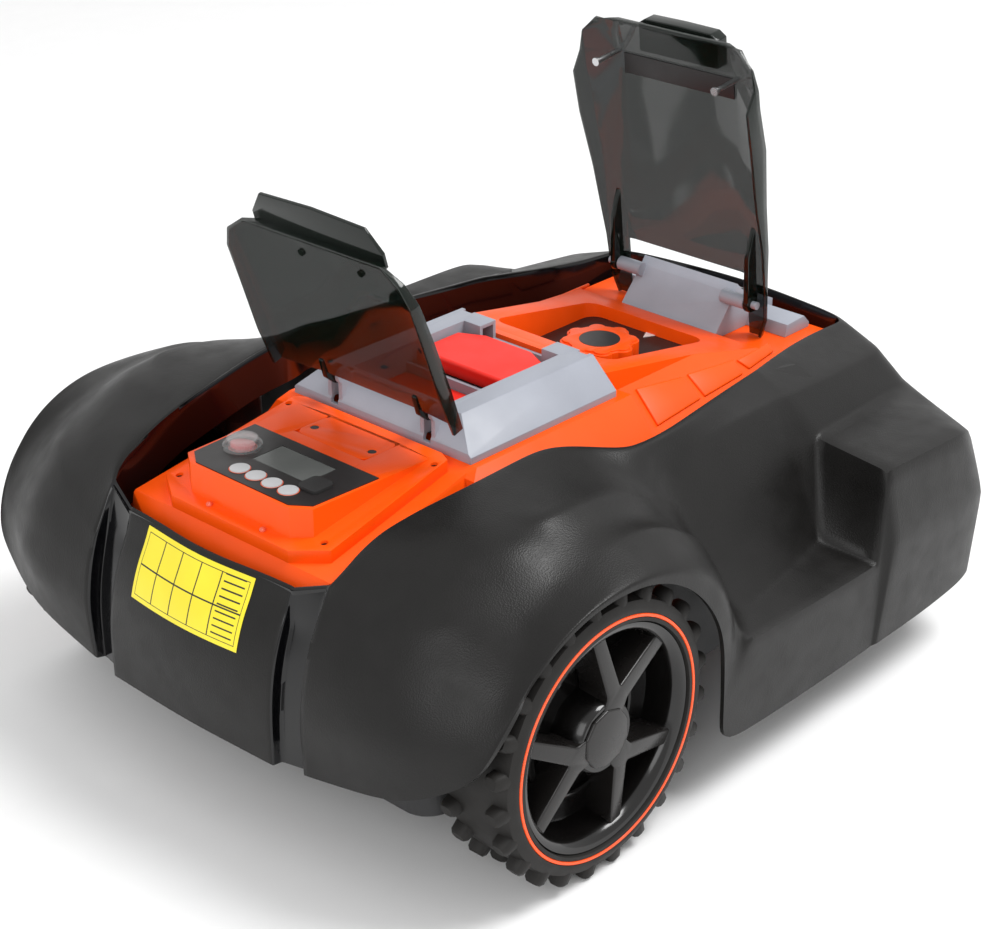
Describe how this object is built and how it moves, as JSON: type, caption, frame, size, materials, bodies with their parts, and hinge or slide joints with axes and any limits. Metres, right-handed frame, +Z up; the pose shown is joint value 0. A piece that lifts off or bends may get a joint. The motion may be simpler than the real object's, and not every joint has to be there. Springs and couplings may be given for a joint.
{
  "type": "robotic lawn mower",
  "caption": "Robotic lawn mower with a floating shell, open clear lids over a control panel and stop bar, large drive wheels and a height-adjusted cutting disc.",
  "frame": {"origin": "on the ground under the centre of the bounding box", "axes": "+X towards the nose, +Y to the left, +Z up"},
  "size_m": [0.624, 0.516, 0.4475],
  "materials": {
    "black_shell": "fine textured satin",
    "orange_plastic": "satin",
    "grey_plastic": "satin",
    "red_plastic": "semi gloss",
    "smoked_clear": "smoked transparent plastic",
    "clear_cap": "clear plastic",
    "black_trim": "satin black",
    "tray_plastic": "matt",
    "display": "grey display window",
    "button_silver": "silver membrane",
    "dark_plate": "matt",
    "lamp_red": "clear red",
    "tyre_rubber": "matt rubber",
    "mount_rubber": "matt rubber",
    "rim_plastic": "gloss black",
    "steel": "bright steel",
    "screw_black": "blackened steel",
    "brass": "bare",
    "motor_metal": "housing",
    "board_green": "circuit board",
    "battery_case": "satin",
    "disc_steel": "moulded disc"
  },
  "bodies": {
    "chassis": {"chassis_tray": "tray_plastic", "deck_cover": "orange_plastic", "control_cover": "orange_plastic", "control_overlay": "black_trim", "lcd_window": "display", "service_hatch": "orange_plastic", "cover_screws": "screw_black", "status_leds": "lamp_red", "switch_boot": "clear_cap", "service_port": "black_trim", "bezel": "grey_plastic", "stop_base": "red_plastic", "stop_switch": "black_trim", "front_cap": "grey_plastic", "cap_label": "black_trim", "lid_pins": "grey_plastic", "well_floor": "dark_plate", "battery_pack": "battery_case", "main_board": "board_green", "gearboxes": "motor_metal", "charging_contacts": "brass", "guide_rods": "steel", "shell_posts": "mount_rubber"},
    "shell": {"shell": "black_shell", "shell_cups": "black_shell"},
    "rear_lid": {"rear_lid": "smoked_clear", "lid_pads": "screw_black"},
    "front_lid": {"front_lid": "smoked_clear", "lid_studs": "steel", "lid_strip": "black_trim"},
    "stop_button": {"stop_button": "red_plastic"},
    "power_rocker": {"power_rocker": "red_plastic"},
    "port_cover": {"port_cover": "mount_rubber"},
    "button_1": {"button_1": "button_silver"},
    "button_2": {"button_2": "button_silver"},
    "button_3": {"button_3": "button_silver"},
    "button_4": {"button_4": "button_silver"},
    "height_knob": {"height_knob": "orange_plastic", "knob_disc": "black_trim", "height_spindle": "steel"},
    "cutting_unit": {"blade_motor": "motor_metal", "lift_yoke": "tray_plastic"},
    "blade_disc": {"blade_disc": "disc_steel", "blade_bolts": "steel"},
    "blade_1": {"blade_1": "steel"},
    "blade_2": {"blade_2": "steel"},
    "blade_3": {"blade_3": "steel"},
    "left_wheel": {"tyre_left": "tyre_rubber", "wheel_rim_left": "rim_plastic", "hub_cap_left": "rim_plastic", "axle_left": "steel"},
    "left_caster_fork": {"caster_fork_left": "tray_plastic"},
    "left_caster_wheel": {"caster_wheel_left": "tyre_rubber"},
    "right_wheel": {"tyre_right": "tyre_rubber", "wheel_rim_right": "rim_plastic", "hub_cap_right": "rim_plastic", "axle_right": "steel"},
    "right_caster_fork": {"caster_fork_right": "tray_plastic"},
    "right_caster_wheel": {"caster_wheel_right": "tyre_rubber"}
  },
  "joints": [
    {"name": "shell_bump", "type": "slide", "parent": "chassis", "child": "shell", "axis": [1, 0, 0], "range_m": [-0.004, 0.004], "stiffness_N_per_m": 4000},
    {"name": "rear_lid_hinge", "type": "hinge", "parent": "chassis", "child": "rear_lid", "pos_m": [-0.12, 0, 0.254], "axis": [0, -1, 0], "range_deg": [0, 74]},
    {"name": "front_lid_hinge", "type": "hinge", "parent": "chassis", "child": "front_lid", "pos_m": [0.206, 0, 0.239], "axis": [0, -1, 0], "range_deg": [0, 76.5]},
    {"name": "stop_press", "type": "slide", "parent": "chassis", "child": "stop_button", "axis": [0, 0, -1], "range_m": [0, 0.003], "stiffness_N_per_m": 3000},
    {"name": "power_rocker_tip", "type": "hinge", "parent": "chassis", "child": "power_rocker", "pos_m": [-0.213, 0.04, 0.2334], "axis": [0, -1, 0], "range_deg": [0, 18]},
    {"name": "port_cover_lift", "type": "hinge", "parent": "chassis", "child": "port_cover", "pos_m": [-0.212, -0.04, 0.23345], "axis": [0, 1, 0], "range_deg": [0, 170]},
    {"name": "button_1_press", "type": "slide", "parent": "chassis", "child": "button_1", "axis": [0, 0, -1], "range_m": [0, 0.0006], "stiffness_N_per_m": 400},
    {"name": "button_2_press", "type": "slide", "parent": "chassis", "child": "button_2", "axis": [0, 0, -1], "range_m": [0, 0.0006], "stiffness_N_per_m": 400},
    {"name": "button_3_press", "type": "slide", "parent": "chassis", "child": "button_3", "axis": [0, 0, -1], "range_m": [0, 0.0006], "stiffness_N_per_m": 400},
    {"name": "button_4_press", "type": "slide", "parent": "chassis", "child": "button_4", "axis": [0, 0, -1], "range_m": [0, 0.0006], "stiffness_N_per_m": 400},
    {"name": "height_knob_turn", "type": "hinge", "parent": "chassis", "child": "height_knob", "pos_m": [0.1075, 0, 0.209], "axis": [0, 0, 1], "range_deg": [-90, 180]},
    {"name": "cutting_unit_lift", "type": "slide", "parent": "chassis", "child": "cutting_unit", "axis": [0, 0, 1], "range_m": [-0.01, 0.02]},
    {"name": "blade_disc_spin", "type": "hinge", "parent": "cutting_unit", "child": "blade_disc", "pos_m": [0.0555, 0, 0.036], "axis": [0, 0, 1], "continuous": true},
    {"name": "blade_1_swing", "type": "hinge", "parent": "blade_disc", "child": "blade_1", "pos_m": [0.1335, 0, 0.034], "axis": [0, 0, 1], "continuous": true},
    {"name": "blade_2_swing", "type": "hinge", "parent": "blade_disc", "child": "blade_2", "pos_m": [0.0165, 0.06755, 0.034], "axis": [0, 0, 1], "continuous": true},
    {"name": "blade_3_swing", "type": "hinge", "parent": "blade_disc", "child": "blade_3", "pos_m": [0.0165, -0.06755, 0.034], "axis": [0, 0, 1], "continuous": true},
    {"name": "left_wheel_roll", "type": "hinge", "parent": "chassis", "child": "left_wheel", "pos_m": [-0.165, 0.216, 0.103], "axis": [0, 1, 0], "continuous": true},
    {"name": "left_caster_swivel", "type": "hinge", "parent": "chassis", "child": "left_caster_fork", "pos_m": [0.2, 0.12, 0.078], "axis": [0, 0, 1], "continuous": true},
    {"name": "left_caster_roll", "type": "hinge", "parent": "left_caster_fork", "child": "left_caster_wheel", "pos_m": [0.178, 0.12, 0.035], "axis": [0, 1, 0], "continuous": true},
    {"name": "right_wheel_roll", "type": "hinge", "parent": "chassis", "child": "right_wheel", "pos_m": [-0.165, -0.216, 0.103], "axis": [0, 1, 0], "continuous": true},
    {"name": "right_caster_swivel", "type": "hinge", "parent": "chassis", "child": "right_caster_fork", "pos_m": [0.2, -0.12, 0.078], "axis": [0, 0, 1], "continuous": true},
    {"name": "right_caster_roll", "type": "hinge", "parent": "right_caster_fork", "child": "right_caster_wheel", "pos_m": [0.178, -0.12, 0.035], "axis": [0, 1, 0], "continuous": true}
  ],
  "couplings": [
    {"joint": "height_knob_turn", "follows": "cutting_unit_lift", "rad_per_m": 157.08}
  ]
}
